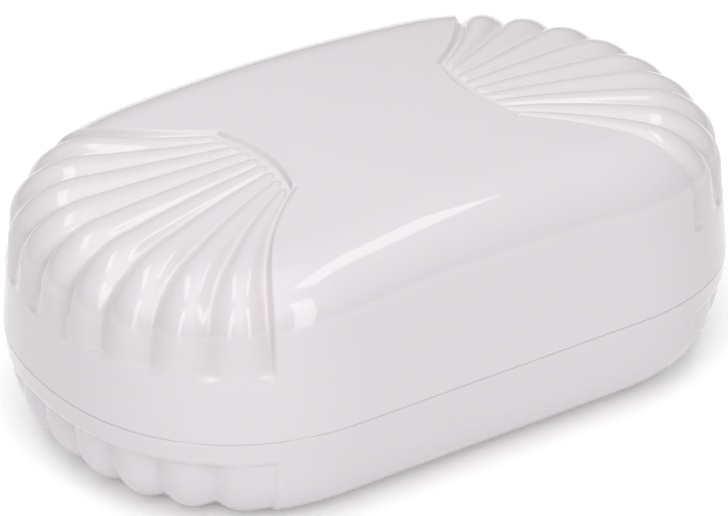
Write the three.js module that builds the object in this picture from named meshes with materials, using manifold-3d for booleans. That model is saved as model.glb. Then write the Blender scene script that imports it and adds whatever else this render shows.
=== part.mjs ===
// Soap box: a domed lid with a shell fan at each end lifts off a shallow base.
// Millimetres, +Z up. The origin is the middle of the flat underside, and X runs along the length.
import * as THREE from 'three';
import { mergeVertices } from 'three/addons/utils/BufferGeometryUtils.js';
import Module from 'manifold-3d';

// Outline at the seam, seen from above: straight long sides and half-oval ends
const LENGTH = 110;
const WIDTH = 67.8;
const SIDE_STRAIGHT = 47;
const END_POWER = 2.2; // fullness of the ends: 2 is an ellipse, more is squarer

// Lid
const LID_HEIGHT = 25.4; // from the seam to the middle of the top
const ARCH_DROP = 4.1; // fall of the top from its middle to each end
const ARCH_BEND = 33; // length over which the top bends before it slopes evenly to the ends
const CROWN_DROP = 1.1; // fall of the top from its middle to each long side
const EDGE_REACH = 10.7; // rounding of the top edge, measured inwards
const EDGE_DROP = 7.7; // the same rounding, measured downwards
const LID_DRAFT = 1.3; // how far the wall leans in below that rounding

// Base
const BASE_HEIGHT = 15.7; // from the underside to the seam
const BOTTOM_ROUND = 9.4; // rounding of the bottom edge
const BASE_LEAN = 0.65; // how far the wall leans in above that rounding
const BAND_HEIGHT = 3.6; // plain band under the seam
const BAND_STEP = 0.4; // how far the band stands out over the lobes below it

// Walls and the joint between the two mouldings
const WALL = 2;
const RIM_LAND = 0.9; // the thinner skirt of the lid that sits on the base
const RIM_CHAMFER = 0.25; // broken edges that show as the seam line
const LIP_HEIGHT = 3; // lip of the base that stands up inside the lid
const LIP_CLEARANCE = 0.3; // sideways, between the lip and the lid's skirt
const LIP_HEADROOM = 0.5; // upwards, between the lip and the lid
const INSIDE_FOLLOW = 0.75; // share of the outer relief that the inner face repeats

// Shell fans
const LOBES = 9; // on each end
const FAN_LENGTH = 18.3; // stretch of the end wall that the lobes cover, along X
const FAN_REACH = 36.3; // from the end of the box in to the corners of the fan's inner edge
const FAN_APEX_WIDTH = 18.4; // between those corners
const FAN_APEX_BULGE = 1.85; // how far the inner edge bows towards the middle of the lid
const FAN_FLARE = 1.9; // bow of the fan's outermost grooves, seen from above
const FAN_EDGE = 1.1; // width of the sloping step round the fan
const GROOVE_DEPTH = 1.2; // between the lobes, on the lid's wall
const GROOVE_FOOT = 9; // height above the seam where the grooves stop
const GROOVE_LEDGE = 1.1; // height of the sloping ledge at the foot of a groove
const TROUGH_DEPTH = 0.7; // sunken strip inside the fan's inner edge
const TIP_SINK = 0.3; // depth of the lobes' tips
const TIP_GAP = 1.7; // from the fan's inner edge to the tips
const TIP_ROUND = 0.8; // length of a tip's rounding
const BASE_GROOVE_DEPTH = 1.05; // between the lobes of the base

// Ribs that keep the soap off the floor
const RIB_COUNT = 5;
const RIB_PITCH = 9;
const RIB_LENGTH = 56;
const RIB_WIDTH = 2.2;
const RIB_HEIGHT = 2.5;
const RIB_ARC_STEPS = 6;

// Fineness of the facets
const LOBE_STEPS = 4;
const SIDE_CURVE_STEPS = 3;
const SIDE_STRAIGHT_STEPS = 4;
const TOP_ROWS = 4;
const EDGE_ROWS = 5;
const TOP_ROWS_INSIDE = 2;
const EDGE_ROWS_INSIDE = 3;
const BASE_ROWS = 5;
const BASE_ROWS_INSIDE = 4;
const SEARCH_STEPS = 30;

const PLASTIC = { color: 0xe3e0e3, roughness: 0.2, metalness: 0 };

const { lerp, clamp } = THREE.MathUtils;
const halfLength = LENGTH / 2;
const halfWidth = WIDTH / 2;
const capStart = SIDE_STRAIGHT / 2;
const capReach = halfLength - capStart;
const seam = BASE_HEIGHT;
const quarterTurn = Math.PI / 2;

// How far a plan point lies in from the outline, and the outline's outward direction there
function planFrame(point) {
  const across = Math.max(Math.abs(point.x) - capStart, 0);
  const reach = Math.hypot(across, point.y);
  const alongShare = across / capReach;
  const sideShare = Math.abs(point.y) / halfWidth;
  const share = (alongShare ** END_POWER + sideShare ** END_POWER) ** (1 / END_POWER);
  const outward = new THREE.Vector2(
    (Math.sign(point.x) * alongShare ** (END_POWER - 1)) / capReach,
    (Math.sign(point.y) * sideShare ** (END_POWER - 1)) / halfWidth,
  );
  return {
    inset: share > 0 ? reach / share - reach : halfWidth,
    outward: outward.normalize(),
  };
}

// Half the outline's width, as a share of the full one, where a share of the end's reach is used up
function widthShare(alongShare) {
  return (1 - alongShare ** END_POWER) ** (1 / END_POWER);
}

// A rim point moved straight in, towards the middle of its end or side
function moveIn(rim, inset) {
  const middle = new THREE.Vector2(clamp(rim.x, -capStart, capStart), 0);
  const spoke = rim.clone().sub(middle);
  return middle.addScaledVector(spoke, 1 - inset / spoke.length());
}

// Height of the lid's plain top, arched along the length and slightly across it
function topHeight(point) {
  const bend = (x) => Math.hypot(1, x / ARCH_BEND) - 1;
  const arch = (ARCH_DROP * bend(point.x)) / bend(halfLength);
  const crown = CROWN_DROP * (point.y / halfWidth) ** 2;
  return seam + LID_HEIGHT - arch - crown;
}

// A column is one line over a moulding: up the wall at a rim point, then in to its crown point.
// Its lobe number is whole in a groove and ends in a half on a crest, and is null on plain faces.
function makeColumn(rim, crown, lobe, bow) {
  const foot = moveIn(rim, LID_DRAFT);
  const chord = crown.clone().sub(foot);
  const sideways = new THREE.Vector2(-chord.y, chord.x).normalize();
  const control = foot.clone().addScaledVector(chord, 1 / 2).addScaledVector(sideways, 2 * bow);
  const path = new THREE.QuadraticBezierCurve(foot, control, crown);
  return {
    rim,
    crown,
    lobe,
    bow,
    path,
    length: path.getLength(),
    outward: planFrame(rim).outward,
    wallTop: topHeight(foot) - EDGE_DROP,
  };
}

// Fan columns of the +X end, from its -Y corner to its +Y corner
function fanColumns() {
  const reachY = halfWidth * widthShare(1 - FAN_LENGTH / capReach);
  const spread = Math.atan2(reachY, capReach - FAN_LENGTH);
  const halfApex = FAN_APEX_WIDTH / 2;
  const radius = (halfApex ** 2 + FAN_APEX_BULGE ** 2) / (2 * FAN_APEX_BULGE);
  const swing = Math.asin(halfApex / radius);
  const centre = halfLength - FAN_REACH - FAN_APEX_BULGE + radius;
  const apexArc = new THREE.EllipseCurve(
    centre, 0, radius, radius, Math.PI + swing, Math.PI - swing, true,
  );
  const steps = LOBES * LOBE_STEPS;
  const crowns = apexArc.getSpacedPoints(steps);
  return crowns.map((crown, step) => {
    const lobe = step / LOBE_STEPS;
    const across = (2 * step) / steps - 1;
    const direction = new THREE.Vector2(Math.cos(spread * across), Math.sin(spread * across));
    const middle = new THREE.Vector2(capStart, 0);
    const { inset } = planFrame(middle.clone().add(direction));
    const rim = middle.addScaledVector(direction, 1 + inset);
    return makeColumn(rim, crown, lobe, FAN_FLARE * across);
  });
}

// The plain column just outside a fan's outermost groove, at the top of the step round the fan
function edgeColumn(groove) {
  const side = Math.sign(groove.rim.y);
  const along = new THREE.Vector2(-groove.outward.y, groove.outward.x).multiplyScalar(side);
  const slope = groove.crown.clone().sub(groove.path.v1).normalize();
  const across = new THREE.Vector2(slope.y, -slope.x).multiplyScalar(side);
  const rim = groove.rim.clone().addScaledVector(along, FAN_EDGE);
  const crown = groove.crown.clone().addScaledVector(across, FAN_EDGE);
  return makeColumn(rim, crown, null, groove.bow);
}

// Plain columns of the +Y side, from the +X edge column to the -X one
function sideColumns(edge) {
  const places = [];
  for (let step = 1; step < SIDE_CURVE_STEPS; step += 1) {
    places.push(lerp(edge.rim.x, capStart, step / SIDE_CURVE_STEPS));
  }
  for (let step = 0; step < SIDE_STRAIGHT_STEPS / 2; step += 1) {
    places.push(capStart * (1 - (2 * step) / SIDE_STRAIGHT_STEPS));
  }
  const mirrored = places.map((x) => -x).reverse();
  return [...places, 0, ...mirrored].map((x) => {
    const bend = Math.max(Math.abs(x) - capStart, 0) / capReach;
    const rim = new THREE.Vector2(x, halfWidth * widthShare(bend));
    const share = x / edge.rim.x;
    const crown = new THREE.Vector2(edge.crown.x * share, edge.crown.y);
    return makeColumn(rim, crown, null, edge.bow * share);
  });
}

// Half of the columns, and the same again turned half round, anticlockwise seen from above
function allColumns() {
  const fan = fanColumns();
  const first = edgeColumn(fan[0]);
  const last = edgeColumn(fan[fan.length - 1]);
  const half = [first, ...fan, last, ...sideColumns(last)];
  const turned = half.map((column) => makeColumn(
    column.rim.clone().negate(), column.crown.clone().negate(), column.lobe, column.bow,
  ));
  return { columns: [...half, ...turned], mirrorSum: fan.length + 1 };
}

// Relief of the lobes at a column: a convex arch on each lobe, with a sharp groove between two
function lobeRelief(column, crest, depth) {
  if (column.lobe === null) {
    return 0;
  }
  const phase = 2 * (column.lobe - Math.floor(column.lobe)) - 1;
  return crest - depth * phase ** 2;
}

function place(plan, height, outward, lean, rise) {
  return {
    point: new THREE.Vector3(plan.x, plan.y, height),
    normal: new THREE.Vector3(outward.x * lean, outward.y * lean, rise),
  };
}

function raise({ point, normal }, distance) {
  return point.clone().addScaledVector(normal, distance);
}

// A place on the lid's plain top or top edge, by the share of the column's path in to the crown
function lidTopPlace(column, share) {
  const plan = column.path.getPointAt(clamp(share, 0, 1));
  const { inset, outward } = planFrame(plan);
  const lean = clamp(1 - (inset - LID_DRAFT) / EDGE_REACH, 0, 1);
  const rise = Math.sqrt(1 - lean ** 2);
  return place(plan, topHeight(plan) - EDGE_DROP * (1 - rise), outward, lean, rise);
}

// The share of a column's path at which it lies a given distance in from the outline
function shareAtInset(column, inset) {
  let low = 0;
  let high = 1;
  for (let step = 0; step < SEARCH_STEPS; step += 1) {
    const middle = (low + high) / 2;
    if (planFrame(column.path.getPointAt(middle)).inset < inset) {
      low = middle;
    } else {
      high = middle;
    }
  }
  return low;
}

// A place on the lid's plain skin: up the wall from 0 to 1, then round the top edge from 1 to 2
function lidPlace(column, climb) {
  if (climb > 1) {
    const turn = (climb - 1) * quarterTurn;
    return lidTopPlace(column, shareAtInset(column, LID_DRAFT + EDGE_REACH * (1 - Math.cos(turn))));
  }
  const height = lerp(seam, column.wallTop, climb);
  return place(moveIn(column.rim, LID_DRAFT * climb), height, column.outward, 1, 0);
}

function lidClimb(column, heightAboveSeam) {
  const wallHeight = column.wallTop - seam;
  if (heightAboveSeam <= wallHeight) {
    return heightAboveSeam / wallHeight;
  }
  return 1 + Math.asin((heightAboveSeam - wallHeight) / EDGE_DROP) / quarterTurn;
}

// Places and relief down the lid's skin, from the crown to the foot of the grooves
function lidSkin(column, topRows, edgeRows) {
  const share = (gap) => 1 - gap / column.length;
  const trough = lobeRelief(column, -TROUGH_DEPTH, 0);
  const brow = shareAtInset(column, LID_DRAFT + EDGE_REACH);
  const ledge = lidClimb(column, GROOVE_FOOT + GROOVE_LEDGE);
  const rows = [
    { at: lidTopPlace(column, 1), relief: 0 },
    { at: lidTopPlace(column, share(FAN_EDGE)), relief: trough },
    { at: lidTopPlace(column, share(TIP_GAP)), relief: trough },
  ];
  for (let row = 0; row < topRows; row += 1) {
    const along = row / topRows;
    const crest = lerp(-TIP_SINK, 0, along);
    const groove = lerp(-TROUGH_DEPTH, -GROOVE_DEPTH, along ** 2);
    rows.push({
      at: lidTopPlace(column, lerp(share(TIP_GAP + TIP_ROUND), brow, along)),
      relief: lobeRelief(column, crest, crest - groove),
    });
  }
  for (let row = 0; row <= edgeRows; row += 1) {
    rows.push({
      at: lidPlace(column, lerp(2, ledge, row / edgeRows)),
      relief: lobeRelief(column, 0, GROOVE_DEPTH),
    });
  }
  rows.push({ at: lidPlace(column, lidClimb(column, GROOVE_FOOT)), relief: 0 });
  return rows;
}

// One line of lid points: over the outside from the crown to the rim, then back up inside
function lidLine(column) {
  const outside = lidSkin(column, TOP_ROWS, EDGE_ROWS)
    .map(({ at, relief }) => raise(at, relief));
  const inside = lidSkin(column, TOP_ROWS_INSIDE, EDGE_ROWS_INSIDE)
    .map(({ at, relief }) => raise(at, relief * INSIDE_FOLLOW - WALL))
    .reverse();
  const rim = lidPlace(column, 0);
  const rebate = lidPlace(column, lidClimb(column, LIP_HEIGHT + LIP_HEADROOM));
  return [
    ...outside,
    raise(lidPlace(column, lidClimb(column, RIM_CHAMFER)), 0),
    raise(rim, -RIM_CHAMFER),
    raise(rim, -RIM_LAND),
    raise(rebate, -RIM_LAND),
    raise(rebate, -WALL),
    ...inside,
  ];
}

// A place on the base's plain skin: down the wall from 0 to 1, then round the bottom edge to 2
function basePlace(column, fall) {
  if (fall > 1) {
    const turn = (fall - 1) * quarterTurn;
    const inset = BASE_LEAN + BOTTOM_ROUND * (1 - Math.cos(turn));
    const height = BOTTOM_ROUND * (1 - Math.sin(turn));
    return place(
      moveIn(column.rim, inset), height, column.outward, Math.cos(turn), -Math.sin(turn),
    );
  }
  const height = lerp(seam, BOTTOM_ROUND, fall);
  return place(moveIn(column.rim, BASE_LEAN * fall), height, column.outward, 1, 0);
}

function baseFall(depthBelowSeam) {
  return depthBelowSeam / (seam - BOTTOM_ROUND);
}

// Places and relief down the base's skin, from under the band to the flat underside
function baseSkin(column, rowCount) {
  const start = baseFall(BAND_HEIGHT + BAND_STEP);
  const rows = [{ at: basePlace(column, baseFall(BAND_HEIGHT)), relief: 0 }];
  for (let row = 0; row <= rowCount; row += 1) {
    const depth = row < rowCount ? BASE_GROOVE_DEPTH : 0;
    const step = row < rowCount ? BAND_STEP : 0;
    rows.push({
      at: basePlace(column, lerp(start, 2, row / rowCount)),
      relief: lobeRelief(column, -step, depth),
    });
  }
  return rows;
}

// One line of base points: up the inside from the floor, over the lip and shoulder, down outside
function baseLine(column) {
  const inside = baseSkin(column, BASE_ROWS_INSIDE)
    .map(({ at, relief }) => raise(at, relief * INSIDE_FOLLOW - WALL))
    .reverse();
  const outside = baseSkin(column, BASE_ROWS)
    .map(({ at, relief }) => raise(at, relief));
  const lipTop = lidPlace(column, lidClimb(column, LIP_HEIGHT));
  const lipFoot = lidPlace(column, 0);
  return [
    ...inside,
    raise(lipTop, -WALL),
    raise(lipTop, -RIM_LAND - LIP_CLEARANCE),
    raise(lipFoot, -RIM_LAND - LIP_CLEARANCE),
    raise(lipFoot, -RIM_CHAMFER),
    raise(basePlace(column, baseFall(RIM_CHAMFER)), 0),
    ...outside,
  ];
}

// Triangles over the middle of a ring of columns. Strips join the side columns that mirror each
// other in the XZ plane, and the columns of each fan are joined to the nearest side columns.
function middleFaces(columnCount, mirrorSum) {
  const faces = [];
  const half = columnCount / 2;
  const firstSide = mirrorSum + 1;
  for (let column = firstSide; column + 1 < half; column += 1) {
    const mirror = mirrorSum - column;
    faces.push([mirror, column, column + 1]);
    faces.push([mirror, column + 1, mirror - 1]);
  }
  for (const start of [0, half]) {
    const side = start + firstSide;
    const otherSide = start + mirrorSum - firstSide;
    const middle = start + mirrorSum / 2;
    faces.push([middle, side, otherSide]);
    for (let step = 0; middle + step + 1 < side; step += 1) {
      faces.push([middle + step, middle + step + 1, side]);
      faces.push([middle - step - 1, middle - step, otherSide]);
    }
  }
  return faces;
}

// A closed skin over the lines of all columns, closed across the middle at both ends of the lines
function skinGeometry(lines, mirrorSum) {
  const columnCount = lines.length;
  const rowCount = lines[0].length;
  const index = [];
  const at = (column, row) => ((column + columnCount) % columnCount) * rowCount + row;
  for (let column = 0; column < columnCount; column += 1) {
    for (let row = 0; row + 1 < rowCount; row += 1) {
      index.push(at(column, row), at(column, row + 1), at(column + 1, row + 1));
      index.push(at(column, row), at(column + 1, row + 1), at(column + 1, row));
    }
  }
  for (const [a, b, c] of middleFaces(columnCount, mirrorSum)) {
    const last = rowCount - 1;
    index.push(at(a, 0), at(b, 0), at(c, 0));
    index.push(at(c, last), at(b, last), at(a, last));
  }
  const geometry = new THREE.BufferGeometry();
  geometry.setFromPoints(lines.flat());
  geometry.setIndex(index);
  return geometry;
}

const wasm = await Module();
wasm.setup();

function toSolid(geometry) {
  const bare = geometry.clone();
  bare.deleteAttribute('normal');
  bare.deleteAttribute('uv');
  const merged = mergeVertices(bare);
  return new wasm.Manifold(new wasm.Mesh({
    numProp: 3,
    vertProperties: new Float32Array(merged.attributes.position.array),
    triVerts: new Uint32Array(merged.index.array),
  }));
}

function toGeometry(solid) {
  const mesh = solid.getMesh();
  const geometry = new THREE.BufferGeometry();
  geometry.setAttribute('position', new THREE.BufferAttribute(mesh.vertProperties, 3));
  geometry.setIndex(new THREE.BufferAttribute(mesh.triVerts, 1));
  return geometry;
}

// A round-ended rib along X, rooted in the middle of the floor's thickness
function ribGeometry(y) {
  const straight = RIB_LENGTH / 2 - RIB_WIDTH / 2;
  const shape = new THREE.Shape();
  shape.absarc(straight, 0, RIB_WIDTH / 2, -quarterTurn, quarterTurn, false);
  shape.absarc(-straight, 0, RIB_WIDTH / 2, quarterTurn, 3 * quarterTurn, false);
  const root = WALL / 2;
  const geometry = new THREE.ExtrudeGeometry(shape, {
    depth: WALL + RIB_HEIGHT - root,
    bevelEnabled: false,
    curveSegments: RIB_ARC_STEPS,
  });
  return geometry.translate(0, y, root);
}

function finish(name, geometry) {
  geometry.computeVertexNormals();
  const mesh = new THREE.Mesh(geometry, new THREE.MeshStandardMaterial(PLASTIC));
  mesh.name = name;
  return mesh;
}

function makeLid({ columns, mirrorSum }) {
  return finish('lid', skinGeometry(columns.map(lidLine), mirrorSum));
}

function makeBase({ columns, mirrorSum }) {
  let solid = toSolid(skinGeometry(columns.map(baseLine), mirrorSum));
  for (let rib = 0; rib < RIB_COUNT; rib += 1) {
    const y = (rib - (RIB_COUNT - 1) / 2) * RIB_PITCH;
    solid = solid.add(toSolid(ribGeometry(y)));
  }
  return finish('base', toGeometry(solid));
}

const layout = allColumns();
const soapBox = new THREE.Group();
soapBox.add(makeBase(layout), makeLid(layout));

export default soapBox;
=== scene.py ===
"""Looks of a lidded soap box: two glossy white mouldings with shell fans, on a white table.

The sizes are the CAD part's, with softer edges and with grooves that run out more gently."""
import math
from collections import namedtuple

import bpy
import numpy as np
from mathutils import Matrix, Vector


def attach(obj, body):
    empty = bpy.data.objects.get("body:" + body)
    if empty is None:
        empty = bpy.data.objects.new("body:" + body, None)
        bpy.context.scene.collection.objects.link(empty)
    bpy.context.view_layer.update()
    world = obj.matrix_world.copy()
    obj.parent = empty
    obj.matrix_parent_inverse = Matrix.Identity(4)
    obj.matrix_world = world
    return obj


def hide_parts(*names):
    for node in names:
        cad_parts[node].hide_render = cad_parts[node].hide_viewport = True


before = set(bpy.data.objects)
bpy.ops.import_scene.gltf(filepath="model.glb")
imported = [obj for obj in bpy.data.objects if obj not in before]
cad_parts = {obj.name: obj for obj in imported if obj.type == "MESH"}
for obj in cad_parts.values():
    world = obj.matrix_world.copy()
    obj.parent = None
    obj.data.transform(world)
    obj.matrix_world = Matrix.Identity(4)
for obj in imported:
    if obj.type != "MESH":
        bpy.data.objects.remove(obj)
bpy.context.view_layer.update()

# Outline at the seam, in millimetres like every size of the mouldings
LENGTH = 110.0
WIDTH = 67.8
SIDE_STRAIGHT = 47.0
END_POWER = 2.2  # fullness of the ends: 2 is an ellipse, more is squarer

# Lid
LID_HEIGHT = 25.4  # from the seam to the middle of the top
ARCH_DROP = 4.1  # fall of the top from its middle to each end
ARCH_BEND = 33.0  # length over which the top bends before it slopes evenly to the ends
CROWN_DROP = 1.1  # fall of the top from its middle to each long side
EDGE_REACH = 10.7  # rounding of the top edge, measured inwards
EDGE_DROP = 7.7  # the same rounding, measured downwards
LID_DRAFT = 1.3  # how far the wall leans in below that rounding

# Base
SEAM = 15.7  # height of the seam above the underside
BOTTOM_ROUND = 9.4  # rounding of the bottom edge
BASE_LEAN = 0.65  # how far the wall leans in above that rounding
BAND_HEIGHT = 3.6  # plain band under the seam
BAND_STEP = 0.4  # how far the band stands out over the lobes below it

# Walls and the joint between the two mouldings
WALL = 2.0
RIM_LAND = 0.9  # the thinner skirt of the lid that sits on the base
RIM_ROUND = 0.12  # rounded edge of that skirt, at the seam
SHOULDER_ROUND = 0.35  # rounded edge of the base, at the seam
LIP_HEIGHT = 3.0  # lip of the base that stands up inside the lid
LIP_CLEARANCE = 0.3  # sideways, between the lip and the lid's skirt
LIP_HEADROOM = 0.5  # upwards, between the lip and the lid
INSIDE_FOLLOW = 0.75  # share of the outer relief that the inner face repeats

# Shell fans
LOBES = 9  # on each end
FAN_LENGTH = 18.3  # stretch of the end wall that the lobes cover, along X
FAN_REACH = 36.3  # from the end of the box in to the corners of the fan's inner edge
FAN_APEX_WIDTH = 18.4  # between those corners
FAN_APEX_BULGE = 1.85  # how far the inner edge bows towards the middle of the lid
FAN_FLARE = 1.9  # bow of the fan's outermost grooves, seen from above
FAN_EDGE = 1.1  # width of the sloping step round the fan
GROOVE_DEPTH = 1.2  # between the lobes, on the lid's wall
GROOVE_FOOT = 9.0  # height above the seam where the grooves stop
GROOVE_LEDGE = 1.1  # height of the sloping ledge at the foot of a groove
FOOT_DEPTH = 0.55  # what is left of a groove's depth at its foot
FOOT_RISE = 7.0  # height above the foot over which a groove reaches its full depth
TROUGH_DEPTH = 0.64  # sunken strip inside the fan's inner edge
TIP_SINK = 0.3  # depth of the lobes' tips
TIP_GAP = 1.7  # from the fan's inner edge to the tips
TIP_ROUND = 0.8  # length of a tip's rounding
BASE_GROOVE_DEPTH = 1.05  # between the lobes of the base
BASE_LOBE_FADE = 0.3  # share of the bottom rounding over which those lobes run out
END_LOBE_FADE = 0.7  # share of its relief that the outermost lobe of the base loses

# Softness of the relief
GROOVE_SOFTNESS = 0.34  # rounding of the bottom of a groove
WALL_LOBE_POWER = 2.0  # fullness of the lobes: more is flatter, with tighter shoulders
TOP_LOBE_POWER = 2.6
STEP_SOFTNESS = 0.45  # rounded share of the step round a fan, at each end of its slope

# Ribs that keep the soap off the floor
RIB_COUNT = 5
RIB_PITCH = 9.0
RIB_LENGTH = 56.0
RIB_WIDTH = 2.2
RIB_HEIGHT = 2.5
RIB_SOFTNESS = 0.5  # rounding of the top edge

# Fineness of the meshes
LobeRows = namedtuple("LobeRows", "step tip top edge ledge")
LID_OUTSIDE = LobeRows(step=8, tip=18, top=26, edge=30, ledge=8)
LID_INSIDE = LobeRows(step=3, tip=6, top=12, edge=14, ledge=3)
LID_BAND_STEPS = 9
BASE_BAND_STEPS = 5
CORNER_STEPS = 4
RIB_CORNER_STEPS = 5
RIB_END_STEPS = 10
SEARCH_STEPS = 26

# White plastic
PLASTIC_WHITE = (0.738, 0.702, 0.723)
PLASTIC_MILKY = (0.722, 0.687, 0.708)
# Groove colours: painted light in the grooves of the top, and warm painted shade in the grooves low on
# the wall
TOP_GROOVE_PAINTED_LIGHT = (0.755, 0.715, 0.728)
WALL_GROOVE_PAINTED_SHADE = (0.69, 0.642, 0.648)
GROOVE_PAINTED_LIGHT_ABOVE = 0.0375  # height in metres above which the grooves have the painted light of the top
GROOVE_LIGHT_TO_SHADE_FADE = 0.008  # metres below that in which they turn to the painted shade of the wall
POLISH = 0.015  # least roughness
FLOW_ROUGHNESS = 0.015
GRAIN_ROUGHNESS = 0.01

# White table
TABLE_HALF = 3.0  # metres
TABLE_WHITE = (0.95, 0.95, 0.95)
TABLE_LIFT = (0.17, 0.17, 0.17)  # what the camera and reflections see on top, to reach white

# Lamps, in metres
LAMP_DISTANCE = 1.1
LAMP_AIM = Vector((0, 0, 0.02))

# Camera, fitted to the silhouette, the seam and the grooves in the photo
PHOTO_WIDTH = 728  # pixels
FOCAL_LENGTH = 4073  # pixels
AIM_RIGHT = 5.4  # pixels from the middle of the picture to the point that is aimed at
AIM_ABOVE = 24.2
CAMERA_AIM = Vector((0, 0, 0.022))
CAMERA_DISTANCE = 0.5918  # metres
CAMERA_AZIMUTH = -33.48  # degrees
CAMERA_ELEVATION = 29.52
CAMERA_ROLL = -0.44

MILLIMETRES = 1000  # in a metre
TINY = 1e-15
half_length = LENGTH / 2
half_width = WIDTH / 2
cap_start = SIDE_STRAIGHT / 2
cap_reach = half_length - cap_start
cap_middle = np.array([cap_start, 0])
quarter_turn = math.pi / 2


def smooth(share):
    """A soft ramp from 0 to 1."""
    share = np.clip(share, 0, 1)
    return share * share * (3 - 2 * share)


def eased(share):
    """A straight ramp from 0 to 1 with rounded ends."""
    share = np.clip(share, 0, 1)
    end = np.minimum(share, 1 - share)
    curve = np.where(end < STEP_SOFTNESS, end ** 2 / (2 * STEP_SOFTNESS), end - STEP_SOFTNESS / 2)
    curve = curve / (1 - STEP_SOFTNESS)
    return np.where(share < 0.5, curve, 1 - curve)


def plan_frame(x, y):
    """How far plan points lie in from the outline, and the outline's outward direction there."""
    beyond = np.maximum(np.abs(x) - cap_start, 0)
    along_share, side_share = beyond / cap_reach, np.abs(y) / half_width
    share = (along_share ** END_POWER + side_share ** END_POWER) ** (1 / END_POWER)
    reach = np.hypot(beyond, y)
    inset = np.where(share > TINY, reach / np.maximum(share, TINY) - reach, half_width)
    out_x = np.sign(x) * along_share ** (END_POWER - 1) / cap_reach
    out_y = np.sign(y) * side_share ** (END_POWER - 1) / half_width
    size = np.hypot(out_x, out_y) + TINY
    return inset, out_x / size, out_y / size


def width_share(along_share):
    """Half the width of an end, as a share, at a share of the way along it."""
    return (1 - along_share ** END_POWER) ** (1 / END_POWER)


def on_outline(points):
    """Points of the +X end moved straight out or in to the outline."""
    spoke = points - cap_middle
    reach = np.hypot(*spoke.T)
    return cap_middle + spoke * (1 + plan_frame(*points.T)[0] / reach)[:, None]


def top_height(x, y):
    """Height of the lid's plain top."""
    def bend(length):
        return np.hypot(1, length / ARCH_BEND) - 1
    arch = ARCH_DROP * bend(x) / bend(half_length)
    return SEAM + LID_HEIGHT - arch - CROWN_DROP * (y / half_width) ** 2


def ceiling_height(x, y):
    """Height of the same top, inside the lid."""
    return top_height(x, y) - WALL


def fan_lines(per_lobe):
    """Rim and crown points of the lobes at the +X end, closer together towards the grooves.

    With them come their places across the fan, from -1 to 1, and the same counted in lobes."""
    place = np.linspace(0, LOBES, LOBES * per_lobe + 1)
    within = 2 * (place - np.floor(place)) - 1
    lobe = np.floor(place) + (1 + np.sin(quarter_turn * within)) / 2
    across = 2 * lobe / LOBES - 1
    spread = math.atan2(half_width * width_share(1 - FAN_LENGTH / cap_reach), cap_reach - FAN_LENGTH)
    way = np.stack([np.cos(spread * across), np.sin(spread * across)], 1)
    rim = on_outline(way + cap_middle)
    half_apex = FAN_APEX_WIDTH / 2
    radius = (half_apex ** 2 + FAN_APEX_BULGE ** 2) / (2 * FAN_APEX_BULGE)
    swing = math.asin(half_apex / radius)
    centre = half_length - FAN_REACH - FAN_APEX_BULGE + radius
    crown = np.stack([centre - radius * np.cos(swing * across), radius * np.sin(swing * across)], 1)
    return rim, crown, across, lobe


def fan_edge(rim, crown):
    """Rim and crown points of the plain line just outside a fan, from those of its last groove."""
    _, out_x, out_y = plan_frame(*rim)
    spoke = rim - cap_middle
    foot = rim - LID_DRAFT * spoke / np.hypot(*spoke)
    chord = crown - foot
    sideways = np.array([-chord[1], chord[0]]) / np.hypot(*chord)
    control = foot + chord / 2 + sideways * 2 * FAN_FLARE
    slope = (crown - control) / np.hypot(*(crown - control))
    edge_rim = rim + FAN_EDGE * np.array([-out_y, out_x])
    edge_crown = crown + FAN_EDGE * np.array([slope[1], -slope[0]])
    return edge_rim, edge_crown


def lobe_groove(lobe, power):
    """The groove share across the lobes: 0 on their crests and 1 between them."""
    hump = 1 - np.abs(2 * (lobe - np.floor(lobe)) - 1) ** power
    soft = np.hypot(hump, GROOVE_SOFTNESS) - GROOVE_SOFTNESS
    return 1 - soft / (math.hypot(1, GROOVE_SOFTNESS) - GROOVE_SOFTNESS)


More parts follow.
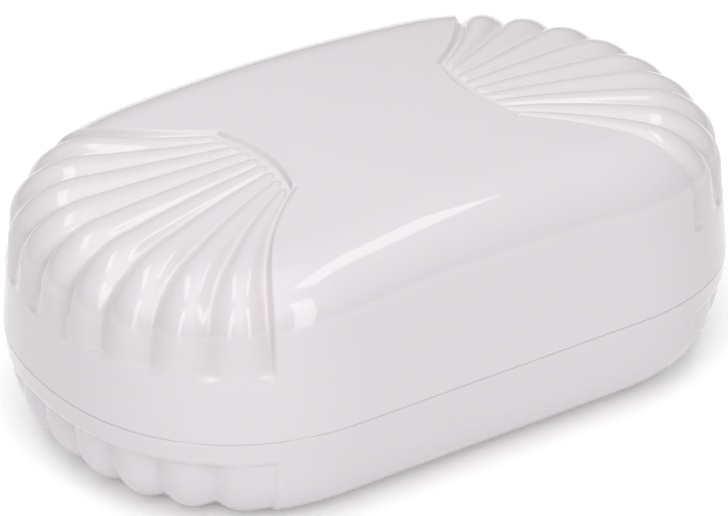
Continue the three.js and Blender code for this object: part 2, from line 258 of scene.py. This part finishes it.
class Columns:
    """Lines over the mouldings: up the wall at a rim point, then in over the top to a crown point.

    They go over the fan at +X, down the step beside it, along a side and up the next step, and
    then over the same again, turned half round. wall_groove and top_groove are 0 on plain faces
    and crests and 1 in a groove. base_depth is the share of the base's relief that is kept. fan
    is true on the lobes."""

    def __init__(self, per_lobe, per_step, per_side):
        fan_rim, fan_crown, across, lobe = fan_lines(per_lobe)
        edge_rim, edge_crown = fan_edge(fan_rim[-1], fan_crown[-1])
        step = (1 - np.cos(np.linspace(0, math.pi, per_step + 1)))[1:, None] / 2
        step_rim = on_outline(fan_rim[-1] + (edge_rim - fan_rim[-1]) * step)
        step_crown = fan_crown[-1] + (edge_crown - fan_crown[-1]) * step
        side = np.sin(quarter_turn * np.linspace(1, -1, per_side + 1))[1:-1]
        side_x = step_rim[-1, 0] * side
        beyond = np.maximum(np.abs(side_x) - cap_start, 0)
        side_rim = np.stack([side_x, half_width * width_share(beyond / cap_reach)], 1)
        side_crown = np.stack([edge_crown[0] * side, np.full_like(side, edge_crown[1])], 1)

        def half_round(on_fan, on_step, on_side, on_far_step):
            return np.concatenate([on_fan, on_step, on_side, on_far_step[::-1]])
        far_end = np.array([-1, 1])
        rim = half_round(fan_rim, step_rim, side_rim, step_rim * far_end)
        crown = half_round(fan_crown, step_crown, side_crown, step_crown * far_end)
        self.rim, self.crown = [np.concatenate([plan, -plan]) for plan in (rim, crown)]

        even = np.ones(per_step)
        plain = np.zeros(len(side))
        step_groove = 1 - eased(step[:, 0])
        self.wall_groove, self.top_groove = [
            np.tile(half_round(lobe_groove(lobe, power), step_groove, plain, step_groove), 2)
            for power in (WALL_LOBE_POWER, TOP_LOBE_POWER)]
        end_lobe = smooth((np.abs(across) - 1) * LOBES / 2 + 1)
        kept = 1 - END_LOBE_FADE
        self.base_depth = np.tile(
            half_round(1 - END_LOBE_FADE * end_lobe, kept * even, plain, kept * even), 2)
        self.bow = FAN_FLARE * np.tile(half_round(across, even, side, -even), 2)
        self.fan = np.tile(np.arange(len(rim)) < len(fan_rim), 2)
        self.count = len(self.rim)
        self.parts = len(fan_rim), per_step, len(side)
        self.side_share = (1 - side) / 2
        self.lay_paths()

    def lay_paths(self):
        """The curved paths over the top, from the head of the wall to the crown points."""
        self.outward = np.stack(plan_frame(*self.rim.T)[1:], 1)
        self.foot = self.moved_in(LID_DRAFT)
        chord = self.crown - self.foot
        self.length = np.hypot(*chord.T)
        sideways = np.stack([-chord[:, 1], chord[:, 0]], 1) / self.length[:, None]
        self.control = self.foot + chord / 2 + sideways * 2 * self.bow[:, None]
        self.wall_top = top_height(*self.foot.T) - EDGE_DROP

    def moved_in(self, inset):
        """Rim points moved straight in, towards the middle of their end or side."""
        middle = np.stack([np.clip(self.rim[:, 0], -cap_start, cap_start), 0 * self.rim[:, 1]], 1)
        spoke = self.rim - middle
        shrink = 1 - np.broadcast_to(inset, self.count) / np.hypot(*spoke.T)
        return middle + spoke * shrink[:, None]

    def on_path(self, share):
        """Plan points at a share of each path."""
        share = np.broadcast_to(share, self.count)[:, None]
        rest = 1 - share
        return rest ** 2 * self.foot + 2 * rest * share * self.control + share ** 2 * self.crown

    def share_at_inset(self, inset):
        """The share of each path, from its foot, at which it lies that far in from the outline."""
        low, high = np.zeros(self.count), np.ones(self.count)
        for _ in range(SEARCH_STEPS):
            middle = (low + high) / 2
            short = plan_frame(*self.on_path(middle).T)[0] < inset
            low, high = np.where(short, middle, low), np.where(short, high, middle)
        return low

    def lines_along(self):
        """Columns joined along X over the middle, from one long side to the other.

        The first and last lines are the side columns, the others just two columns that face
        each other."""
        fan, step, side = self.parts
        half = self.count // 2
        start = fan + step
        whole_side = [*range(start - 1, start + side + 1)]
        lines = [[half + column for column in whole_side[::-1]]]
        lines += [[half + start + side + k, half + start - 1 - k] for k in range(1, step)]
        lines += [[k, half + fan - 1 - k] for k in range(fan)]
        lines += [[fan + k, start + side + step - 1 - k] for k in range(step - 1)]
        return [*lines, whole_side]


def raised(plan, height, normal_plan, normal_up, relief):
    """Points at a plan place and height, moved out by the relief."""
    relief = np.broadcast_to(relief, len(plan))
    return np.column_stack([plan + normal_plan * relief[:, None], height + normal_up * relief])


def lid_top(columns, share, relief):
    """Points on the lid's top, by the share of each column's path in to the crown."""
    plan = columns.on_path(np.clip(share, 0, 1))
    inset, out_x, out_y = plan_frame(*plan.T)
    lean = np.clip(1 - (inset - LID_DRAFT) / EDGE_REACH, 0, 1)
    rise = np.sqrt(1 - lean ** 2)
    height = top_height(*plan.T) - EDGE_DROP * (1 - rise)
    return raised(plan, height, np.stack([out_x * lean, out_y * lean], 1), rise, relief)


def lid_side(columns, climb, relief):
    """Points up the lid's wall, climb 0 to 1, and round its top edge, climb 1 to 2."""
    climb = np.broadcast_to(climb, columns.count)
    wall = np.minimum(climb, 1)
    height = SEAM + (columns.wall_top - SEAM) * wall
    on_wall = raised(columns.moved_in(LID_DRAFT * wall), height, columns.outward, 0, relief)
    turn = np.maximum(climb - 1, 0) * quarter_turn
    share = columns.share_at_inset(LID_DRAFT + EDGE_REACH * (1 - np.cos(turn)))
    return np.where((climb > 1)[:, None], lid_top(columns, share, relief), on_wall)


def lid_climb(columns, height):
    """The climb at a height above the seam."""
    wall = columns.wall_top - SEAM
    over = np.arcsin(np.clip((height - wall) / EDGE_DROP, 0, 1)) / quarter_turn
    return np.where(height <= wall, height / wall, 1 + over)


def lid_height(columns, climb):
    """The height above the seam at a climb."""
    turn = np.clip(climb - 1, 0, 1) * quarter_turn
    return (columns.wall_top - SEAM) * np.minimum(climb, 1) + EDGE_DROP * np.sin(turn)


def fan_top(columns, counts, follow, offset):
    """Rows from the crown to the top edge: over the step round the fan, the lobes' tips, the lobes.

    follow is the share of the relief that is kept, and offset moves the rows in or out."""
    brow = columns.share_at_inset(LID_DRAFT + EDGE_REACH)
    tip = 1 - (TIP_GAP + TIP_ROUND) / columns.length
    tip_end = 2 * (TIP_GAP + TIP_ROUND)
    gaps = [FAN_EDGE * (1 - math.cos(math.pi * k / counts.step)) / 2 for k in range(counts.step)]
    gaps += [FAN_EDGE + (tip_end - FAN_EDGE) * k / counts.tip for k in range(counts.tip)]
    shares = [1 - gap / columns.length for gap in gaps]
    start = 1 - tip_end / columns.length
    shares += [start + (brow - start) * k / counts.top for k in range(counts.top)]
    rows = []
    for share in shares:
        gap = (1 - share) * columns.length
        along = np.clip((tip - share) / (tip - brow), 0, 1)
        groove = -TROUGH_DEPTH + (TROUGH_DEPTH - GROOVE_DEPTH) * along ** 2
        floor = groove * eased(gap / FAN_EDGE)
        swell = smooth((gap - TIP_GAP) / TIP_ROUND - columns.wall_groove)
        lobe = (-TIP_SINK * (1 - along) - groove) * (1 - columns.top_groove) * swell
        relief = np.where(columns.fan, floor + lobe, floor * columns.wall_groove)
        rows.append(lid_top(columns, share, relief * follow + offset))
    return rows


def fan_wall(columns, counts, follow, offset):
    """Rows from the top edge down to the foot of the grooves, where they run out softly."""
    ledge = lid_climb(columns, GROOVE_FOOT + GROOVE_LEDGE)
    foot = lid_climb(columns, GROOVE_FOOT)
    climbs = [2 + (ledge - 2) * k / counts.edge for k in range(counts.edge)]
    climbs += [ledge + (foot - ledge) * k / counts.ledge for k in range(counts.ledge + 1)]
    rows = []
    for climb in climbs:
        on_top = smooth(climb - 1)
        groove = columns.wall_groove + (columns.top_groove - columns.wall_groove) * on_top
        above = lid_height(columns, climb) - GROOVE_FOOT
        depth = FOOT_DEPTH + (GROOVE_DEPTH - FOOT_DEPTH) * smooth(above / FOOT_RISE)
        relief = -depth * smooth(above / GROOVE_LEDGE) * groove
        rows.append(lid_side(columns, climb, relief * follow + offset))
    return rows


def rounded_corner(steps):
    """Shares along two meeting edges, round a quarter circle."""
    turns = [quarter_turn * k / steps for k in range(steps + 1)]
    return [(1 - math.cos(turn), 1 - math.sin(turn)) for turn in turns]


def lid_rows(columns):
    """All rows of the lid: over the outside from the crown to the rim, then back up inside."""
    def at(height, depth):
        return lid_side(columns, lid_climb(columns, height), -depth)
    rows = fan_top(columns, LID_OUTSIDE, 1, 0) + fan_wall(columns, LID_OUTSIDE, 1, 0)
    rows += [at(height, 0) for height in np.linspace(GROOVE_FOOT, RIM_ROUND, LID_BAND_STEPS + 1)[1:-1]]
    rows += [at(RIM_ROUND * up, RIM_ROUND * inward) for inward, up in rounded_corner(CORNER_STEPS)]
    rebate = LIP_HEIGHT + LIP_HEADROOM
    rows += [at(0, RIM_LAND), at(rebate, RIM_LAND), at(rebate, WALL)]
    rows += fan_wall(columns, LID_INSIDE, INSIDE_FOLLOW, -WALL)[::-1]
    rows += fan_top(columns, LID_INSIDE, INSIDE_FOLLOW, -WALL)[::-1]
    return rows


def base_side(columns, fall, relief):
    """Points down the base's wall, fall 0 to 1, and round its bottom edge, fall 1 to 2."""
    if fall > 1:
        turn = (fall - 1) * quarter_turn
        plan = columns.moved_in(BASE_LEAN + BOTTOM_ROUND * (1 - math.cos(turn)))
        height = BOTTOM_ROUND * (1 - math.sin(turn))
        return raised(plan, height, columns.outward * math.cos(turn), -math.sin(turn), relief)
    height = SEAM + (BOTTOM_ROUND - SEAM) * fall
    return raised(columns.moved_in(BASE_LEAN * fall), height, columns.outward, 0, relief)


def base_fall(depth):
    """The fall at a depth below the seam, on the wall."""
    return depth / (SEAM - BOTTOM_ROUND)


def base_lobes(columns, step_rows, lobe_rows, follow, offset):
    """Rows from under the plain band to the flat underside, on the outside or moved inwards."""
    rows = []
    start = base_fall(BAND_HEIGHT + BAND_STEP)
    band = BAND_STEP * np.where(columns.fan, 1, columns.wall_groove)
    depth = (band + BASE_GROOVE_DEPTH * columns.wall_groove) * columns.base_depth
    for k in range(step_rows):
        share = k / step_rows
        fall = base_fall(BAND_HEIGHT + BAND_STEP * share)
        rows.append(base_side(columns, fall, -depth * share * follow + offset))
    for k in range(lobe_rows + 1):
        fall = start + (2 - start) * k / lobe_rows
        fade = smooth((2 - fall) / BASE_LOBE_FADE)
        rows.append(base_side(columns, fall, -depth * fade * follow + offset))
    return rows


def base_rows(columns):
    """All rows of the base: up the inside from the floor, over the lip, then down the outside."""
    def lip(height, depth):
        return lid_side(columns, lid_climb(columns, height), -depth)
    rows = base_lobes(columns, step_rows=2, lobe_rows=18, follow=INSIDE_FOLLOW, offset=-WALL)[::-1]
    outer = RIM_LAND + LIP_CLEARANCE
    rows += [lip(LIP_HEIGHT, WALL), lip(LIP_HEIGHT, outer), lip(0, outer)]
    rows += [base_side(columns, base_fall(SHOULDER_ROUND * down), -SHOULDER_ROUND * inward)
             for inward, down in rounded_corner(CORNER_STEPS)[::-1]]
    rows += [base_side(columns, base_fall(depth), 0)
             for depth in np.linspace(SHOULDER_ROUND, BAND_HEIGHT, BASE_BAND_STEPS + 1)[1:-1]]
    rows += base_lobes(columns, step_rows=5, lobe_rows=30, follow=1, offset=0)
    return rows


def ring_faces(count, rows):
    """Faces between rows of points that each close into a ring."""
    here = np.arange(count)
    beside = (here + 1) % count
    ring = np.stack([here, here + count, beside + count, beside], 1)
    return np.concatenate([ring + row * count for row in range(rows - 1)]).tolist()


def closed_skin(columns, rows, first_height, last_height):
    """Points and faces of a moulding: its rows, and a patch over the middle at each end of them.

    A patch follows the given height, or is one flat face where there is none."""
    points = [np.concatenate(rows)]
    count = columns.count
    faces = ring_faces(count, len(rows))
    made = count * len(rows)
    for row, height, way in ((0, first_height, 1), (len(rows) - 1, last_height, -1)):
        if height is None:
            faces.append([*range(row * count, (row + 1) * count)][::way])
            continue
        lines = []
        for line in columns.lines_along():
            line = [row * count + column for column in line]
            if len(line) == 2:
                near, far = points[0][line]
                inner = near + (far - near) * columns.side_share[:, None]
                inner[:, 2] = height(inner[:, 0], inner[:, 1])
                points.append(inner)
                line[1:1] = range(made, made + len(inner))
                made += len(inner)
            lines.append(line)
        for line, following in zip(lines, lines[1:]):
            faces += [[line[k], following[k], following[k + 1], line[k + 1]][::way]
                      for k in range(len(line) - 1)]
    return np.concatenate(points), faces


def soap_rib(offset):
    """Points and faces of a rib with rounded ends and a rounded top, rooted in the floor."""
    angle = np.linspace(-quarter_turn, quarter_turn, RIB_END_STEPS + 1)
    arc = np.stack([np.cos(angle), np.sin(angle)], 1)
    around = np.concatenate([arc, -arc])
    straight = RIB_LENGTH / 2 - RIB_WIDTH / 2
    middle = np.repeat([[straight, 0], [-straight, 0]], len(arc), axis=0)
    top = WALL + RIB_HEIGHT
    levels = [(top - RIB_SOFTNESS * down, RIB_SOFTNESS * inward)
              for inward, down in rounded_corner(RIB_CORNER_STEPS)[::-1]]
    levels.append((WALL / 2, 0))
    points = np.concatenate([
        np.column_stack([middle + around * (RIB_WIDTH / 2 - inward), np.full(len(around), height)])
        for height, inward in levels])
    count = len(around)
    caps = [[*range(count)], [*range(len(points) - count, len(points))][::-1]]
    return points + [0, offset, 0], caps + ring_faces(count, len(levels))


def moulding(name, parts, groove=()):
    """One object from points and faces in millimetres, with its first points' groove share."""
    points, faces, start = [], [], 0
    for part_points, part_faces in parts:
        points.append(part_points)
        faces += [[corner + start for corner in face] for face in part_faces]
        start += len(part_points)
    mesh = bpy.data.meshes.new(name)
    mesh.from_pydata((np.concatenate(points) / MILLIMETRES).tolist(), [], faces)
    mesh.update()
    mesh.shade_smooth()
    share = np.zeros(start, np.float32)
    share[:len(groove)] = groove
    # The groove share sets where the material paints light and shade into the grooves
    mesh.attributes.new("groove", "FLOAT", "POINT").data.foreach_set("value", share)
    piece = bpy.data.objects.new(name, mesh)
    bpy.context.scene.collection.objects.link(piece)
    return piece


def lid_moulding(columns):
    """The lid, with its groove share on the fans down to the ledges, which paints light and shade into
    the grooves' colour.
    """
    skin = closed_skin(columns, lid_rows(columns), top_height, ceiling_height)
    # Rows whose grooves get painted light on the top and painted shade low on the wall
    painted_groove_rows = sum(LID_OUTSIDE) - LID_OUTSIDE.ledge
    return moulding("lid_moulding", [skin], np.tile(columns.wall_groove, painted_groove_rows))


def base_moulding(columns):
    """The base, with its soap ribs."""
    skin = closed_skin(columns, base_rows(columns), None, None)
    ribs = [soap_rib((k - (RIB_COUNT - 1) / 2) * RIB_PITCH) for k in range(RIB_COUNT)]
    return moulding("base_moulding", [skin, *ribs])


class Wire:
    """An output of a shader node, so that shading reads as ordinary arithmetic."""

    def __init__(self, tree, output=None):
        self.tree = tree
        self.output = output

    def node(self, kind, settings, sockets):
        """Any other node, with its settings and then its sockets."""
        made = self.tree.nodes.new(kind)
        for name, value in settings.items():
            setattr(made, name, value)
        for name, value in sockets.items():
            self.plug(made.inputs[name], value)
        return made

    def plug(self, socket, value):
        """Links a wire to a socket, or sets the socket to a plain value."""
        if isinstance(value, Wire):
            self.tree.links.new(value.output, socket)
        else:
            socket.default_value = value

    def calculate(self, operation, *values):
        """The result of a Math node."""
        made = self.node("ShaderNodeMath", {"operation": operation}, dict(enumerate(values)))
        return Wire(self.tree, made.outputs[0])

    def __add__(self, other):
        return self.calculate("ADD", self, other)

    __radd__ = __add__

    def __sub__(self, other):
        return self.calculate("SUBTRACT", self, other)

    def __rsub__(self, other):
        return self.calculate("SUBTRACT", other, self)

    def __mul__(self, other):
        return self.calculate("MULTIPLY", self, other)

    __rmul__ = __mul__

    def __truediv__(self, other):
        return self.calculate("DIVIDE", self, other)

    def __rtruediv__(self, other):
        return self.calculate("DIVIDE", other, self)

    def __pow__(self, other):
        return self.calculate("POWER", self, other)

    def __rpow__(self, other):
        return self.calculate("POWER", other, self)

    def clipped(self):
        """The same value, kept between 0 and 1."""
        return self.calculate("MINIMUM", self.calculate("MAXIMUM", self, 0), 1)

    def mix(self, first, second):
        """A colour from the first to the second by this share, from a Mix node's colour sockets."""
        share, first_colour, second_colour, result = 0, 6, 7, 2
        made = self.node("ShaderNodeMix", {"data_type": "RGBA"}, {
            share: self, first_colour: first, second_colour: second})
        return Wire(self.tree, made.outputs[result])


def white_plastic():
    """Glossy white polystyrene, a little milky, with faint flow marks, painted light in the grooves of
    the top and painted shade in the grooves low on the wall.
    """
    material = bpy.data.materials.new("white_plastic")
    material.use_nodes = True
    tree = material.node_tree
    shader = tree.nodes["Principled BSDF"]
    start = Wire(tree)
    spot = Wire(tree, start.node("ShaderNodeTexCoord", {}, {}).outputs["Object"])

    def noise(scale, detail, stretch=(1, 1, 1)):
        mapped = start.node("ShaderNodeMapping", {}, {"Vector": spot, "Scale": stretch})
        made = start.node("ShaderNodeTexNoise", {}, {
            "Vector": Wire(tree, mapped.outputs[0]), "Scale": scale, "Detail": detail})
        return Wire(tree, made.outputs[0])
    cloud = noise(scale=28, detail=2)
    flow = noise(scale=45, detail=3, stretch=(0.35, 1, 1))
    grain = noise(scale=1800, detail=2)
    # The groove share paints light into the grooves of the top and shade into the grooves low on the
    # wall, split by height
    attribute = start.node("ShaderNodeAttribute", {"attribute_name": "groove"}, {})
    depth = Wire(tree, attribute.outputs["Fac"])
    height = Wire(tree, start.node("ShaderNodeSeparateXYZ", {}, {"Vector": spot}).outputs["Z"])
    low = ((GROOVE_PAINTED_LIGHT_ABOVE - height) / GROOVE_LIGHT_TO_SHADE_FADE).clipped()
    groove = low.mix((*TOP_GROOVE_PAINTED_LIGHT, 1), (*WALL_GROOVE_PAINTED_SHADE, 1))
    body = cloud.mix((*PLASTIC_MILKY, 1), (*PLASTIC_WHITE, 1))
    start.plug(shader.inputs["Base Color"], depth.mix(body, groove))
    roughness = POLISH + FLOW_ROUGHNESS * flow + GRAIN_ROUGHNESS * grain
    start.plug(shader.inputs["Roughness"], roughness)
    shader.inputs["IOR"].default_value = 1.5
    ripple = start.node("ShaderNodeBump", {}, {
        "Strength": 0.03, "Distance": 0.0002, "Height": noise(scale=260, detail=2)})
    start.plug(shader.inputs["Normal"], Wire(tree, ripple.outputs[0]))
    return material


def table_white():
    """Matt white that is lifted to pure white for the camera and in reflections."""
    material = bpy.data.materials.new("table_white")
    material.use_nodes = True
    tree = material.node_tree
    shader = tree.nodes["Principled BSDF"]
    shader.inputs["Base Color"].default_value = (*TABLE_WHITE, 1)
    shader.inputs["Roughness"].default_value = 0.9
    shader.inputs["Specular IOR Level"].default_value = 0
    start = Wire(tree)
    path = start.node("ShaderNodeLightPath", {}, {})
    camera_ray, glossy_ray, clear_ray = [
        Wire(tree, path.outputs[f"Is {kind} Ray"]) for kind in ("Camera", "Glossy", "Transmission")]
    lift = (camera_ray + glossy_ray + clear_ray).mix((0, 0, 0, 1), (*TABLE_LIFT, 1))
    start.plug(shader.inputs["Emission Color"], lift)
    shader.inputs["Emission Strength"].default_value = 1
    return material


def table():
    """A white table top that keeps a faint shadow."""
    mesh = bpy.data.meshes.new("table")
    corners = [(-1, -1), (1, -1), (1, 1), (-1, 1)]
    mesh.from_pydata([(TABLE_HALF * x, TABLE_HALF * y, 0) for x, y in corners], [], [(0, 1, 2, 3)])
    mesh.materials.append(table_white())
    top = bpy.data.objects.new("table", mesh)
    bpy.context.scene.collection.objects.link(top)


def towards(azimuth, elevation):
    """The way from the soap box at angles in degrees.

    Azimuth 0 is in front of the long side, and 90 is beyond the +X end."""
    around, lift = math.radians(azimuth), math.radians(elevation)
    level = math.cos(lift)
    return Vector((math.sin(around) * level, -math.cos(around) * level, math.sin(lift)))


def softbox(name, azimuth, elevation, size, power, turn=0):
    """A rectangular lamp that faces the soap box, turned about its own middle."""
    lamp = bpy.data.lights.new(name, "AREA")
    lamp.shape = "RECTANGLE"
    lamp.size, lamp.size_y = size
    lamp.energy = power
    stand = bpy.data.objects.new(name, lamp)
    way = towards(azimuth, elevation)
    facing = way.to_track_quat("Z", "Y").to_matrix().to_4x4()
    turned = Matrix.Rotation(math.radians(turn), 4, "Z")
    stand.matrix_world = Matrix.Translation(way * LAMP_DISTANCE + LAMP_AIM) @ facing @ turned
    bpy.context.scene.collection.objects.link(stand)


Glow = namedtuple("Glow", "azimuth elevation tightness strength")


def room(shade, glows):
    """Light from all round: an even shade, and soft glows that fade away from their middles."""
    world = bpy.data.worlds.new("room")
    bpy.context.scene.world = world
    world.use_nodes = True
    tree = world.node_tree
    start = Wire(tree)
    way = Wire(tree, start.node("ShaderNodeTexCoord", {}, {}).outputs["Generated"])
    light = shade
    for glow in glows:
        nearness = start.node("ShaderNodeVectorMath", {"operation": "DOT_PRODUCT"}, {
            0: way, 1: towards(glow.azimuth, glow.elevation)})
        facing = start.calculate("MAXIMUM", Wire(tree, nearness.outputs["Value"]), 0)
        light = light + glow.strength * facing ** glow.tightness
    background = tree.nodes["Background"]
    background.inputs["Color"].default_value = (1, 1, 1, 1)
    start.plug(background.inputs["Strength"], light)


def camera():
    """The photo's view."""
    roll = math.radians(CAMERA_ROLL)
    back = towards(CAMERA_AZIMUTH, CAMERA_ELEVATION)
    level = towards(CAMERA_AZIMUTH + 90, 0)
    upright = back.cross(level)
    right = level * math.cos(roll) + upright * math.sin(roll)
    up = upright * math.cos(roll) - level * math.sin(roll)
    # The middle of the picture lies beside the point that is aimed at
    ahead = (-back * FOCAL_LENGTH - right * AIM_RIGHT - up * AIM_ABOVE).normalized()
    right = (right - ahead * right.dot(ahead)).normalized()
    up = right.cross(ahead)
    data = bpy.data.cameras.new("camera")
    data.lens = FOCAL_LENGTH / PHOTO_WIDTH * data.sensor_width
    data.clip_start, data.clip_end = 0.05, 20
    view = bpy.data.objects.new("camera", data)
    turn = Matrix((right, up, -ahead)).transposed().to_4x4()
    view.matrix_world = Matrix.Translation(back * CAMERA_DISTANCE + CAMERA_AIM) @ turn
    bpy.context.scene.collection.objects.link(view)
    bpy.context.scene.camera = view


columns = Columns(per_lobe=14, per_step=12, per_side=64)
lid = lid_moulding(columns)
base = base_moulding(columns)
plastic = white_plastic()
for piece, body in ((lid, "lid"), (base, "base")):
    piece.data.materials.append(plastic)
    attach(piece, body)
    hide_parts(body)

table()
room(0.01, [
    Glow(azimuth=0, elevation=90, tightness=18, strength=1.36),
    Glow(azimuth=-33, elevation=51, tightness=7, strength=2.12),
    Glow(azimuth=150, elevation=45, tightness=3, strength=0.86),
    Glow(azimuth=-20, elevation=3, tightness=10, strength=0.1)])
softbox("window_left", azimuth=-62, elevation=23, size=(0.2, 1.2), power=1.9)
softbox("window_right", azimuth=1, elevation=23, size=(0.2, 1.2), power=2.0, turn=-3)
softbox("overhead_left", azimuth=-130, elevation=68.5, size=(0.76, 0.2), power=1.2, turn=16)
softbox("overhead_right", azimuth=73.1, elevation=70.4, size=(0.72, 0.15), power=0.85, turn=-19.6)
camera()
bpy.context.scene.view_settings.view_transform = "Standard"
